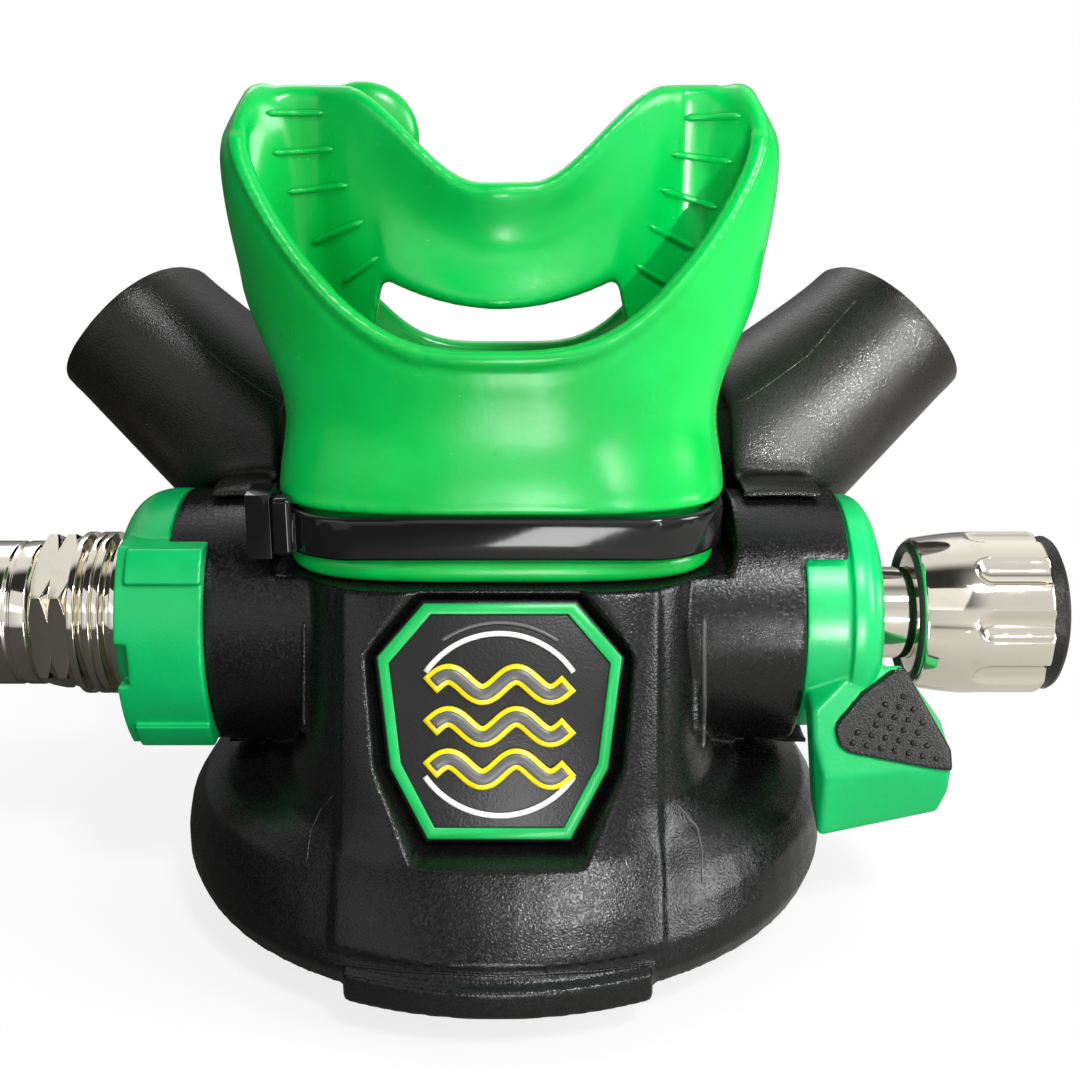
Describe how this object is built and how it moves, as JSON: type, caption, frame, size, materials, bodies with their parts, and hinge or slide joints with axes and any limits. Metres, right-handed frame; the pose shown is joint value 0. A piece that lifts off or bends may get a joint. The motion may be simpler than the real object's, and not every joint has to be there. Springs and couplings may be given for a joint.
{
  "type": "scuba regulator second stage",
  "caption": "Scuba regulator second stage with green silicone mouthpiece, black case, exhaust tee, chrome hose fitting, adjusting knob and venturi lever.",
  "frame": {"origin": "centre of the front cover's resting face", "axes": "+X along the valve axis from the hose fitting to the adjusting knob, +Z from the front cover to the mouthpiece, -Y towards the badge"},
  "size_m": [0.137, 0.0812, 0.0964],
  "materials": {
    "case_plastic": "satin",
    "soft_black": "matte",
    "seal_black": "satin",
    "tie_plastic": "gloss",
    "inner_plastic": "satin",
    "green_silicone": "satin",
    "green_plastic": "satin",
    "chrome": "polished",
    "steel": "satin",
    "brass": "satin",
    "clear_silicone": "satin",
    "badge_black": "satin",
    "badge_green": "satin",
    "badge_yellow": "satin"
  },
  "bodies": {
    "case_body": {"case": "case_plastic", "front_cover": "case_plastic", "clamp_ring": "inner_plastic", "diaphragm": "clear_silicone", "valve_barrel": "steel", "valve_orifice": "brass", "orifice_o_ring": "seal_black", "adjuster_sleeve": "chrome", "sleeve_o_ring": "seal_black", "heat_exchanger": "chrome", "inlet_o_ring": "seal_black", "inlet_clip": "green_plastic", "hose_ferrule": "chrome", "hose_o_ring": "seal_black", "mouthpiece": "green_silicone", "tie_band": "tie_plastic", "tie_head": "tie_plastic", "exhaust_tee": "soft_black", "exhaust_valve": "clear_silicone", "badge_plate": "badge_black", "badge_frame": "badge_green", "badge_motif": "badge_yellow", "purge_spring": "steel", "poppet_spring": "steel"},
    "adjuster": {"knob": "chrome", "knob_ring": "seal_black", "knob_cap": "soft_black"},
    "screw": {"adjuster_screw": "brass"},
    "venturi": {"venturi_lever": "green_plastic", "lever_grip": "soft_black", "venturi_vane": "inner_plastic"},
    "button": {"purge_button": "soft_black"},
    "disc": {"diaphragm_disc": "steel"},
    "demand": {"demand_lever": "steel"},
    "poppet_body": {"poppet": "steel", "poppet_seat": "seal_black"},
    "nut": {"swivel_nut": "chrome"}
  },
  "joints": [
    {"name": "knob_turn", "type": "hinge", "parent": "case_body", "child": "adjuster", "pos_m": [0.0572, 0, 0.034], "axis": [1, 0, 0], "range_deg": [0, 720]},
    {"name": "screw_slide", "type": "slide", "parent": "case_body", "child": "screw", "axis": [-1, 0, 0], "range_m": [0, 0.00255]},
    {"name": "venturi_turn", "type": "hinge", "parent": "case_body", "child": "venturi", "pos_m": [0.042, 0, 0.034], "axis": [-1, 0, 0], "range_deg": [0, 55]},
    {"name": "purge_press", "type": "slide", "parent": "case_body", "child": "button", "axis": [0, 0, 1], "range_m": [0, 0.0026], "stiffness_N_per_m": 600, "deforming": ["purge_spring"]},
    {"name": "disc_slide", "type": "slide", "parent": "case_body", "child": "disc", "axis": [0, 0, 1], "range_m": [0, 0.0026]},
    {"name": "demand_swing", "type": "hinge", "parent": "case_body", "child": "demand", "pos_m": [-0.012, 0, 0.029], "axis": [0, -1, 0], "range_deg": [0, 7.6]},
    {"name": "poppet_slide", "type": "slide", "parent": "case_body", "child": "poppet_body", "axis": [1, 0, 0], "range_m": [0, 0.0006]},
    {"name": "nut_turn", "type": "hinge", "parent": "case_body", "child": "nut", "pos_m": [-0.053, 0, 0.034], "axis": [1, 0, 0], "continuous": true}
  ],
  "couplings": [
    {"joint": "screw_slide", "follows": "knob_turn", "m_per_rad": 0.00019894},
    {"joint": "disc_slide", "follows": "purge_press", "ratio": 1},
    {"joint": "demand_swing", "follows": "purge_press", "rad_per_m": 50},
    {"joint": "poppet_slide", "follows": "purge_press", "ratio": 0.2}
  ]
}
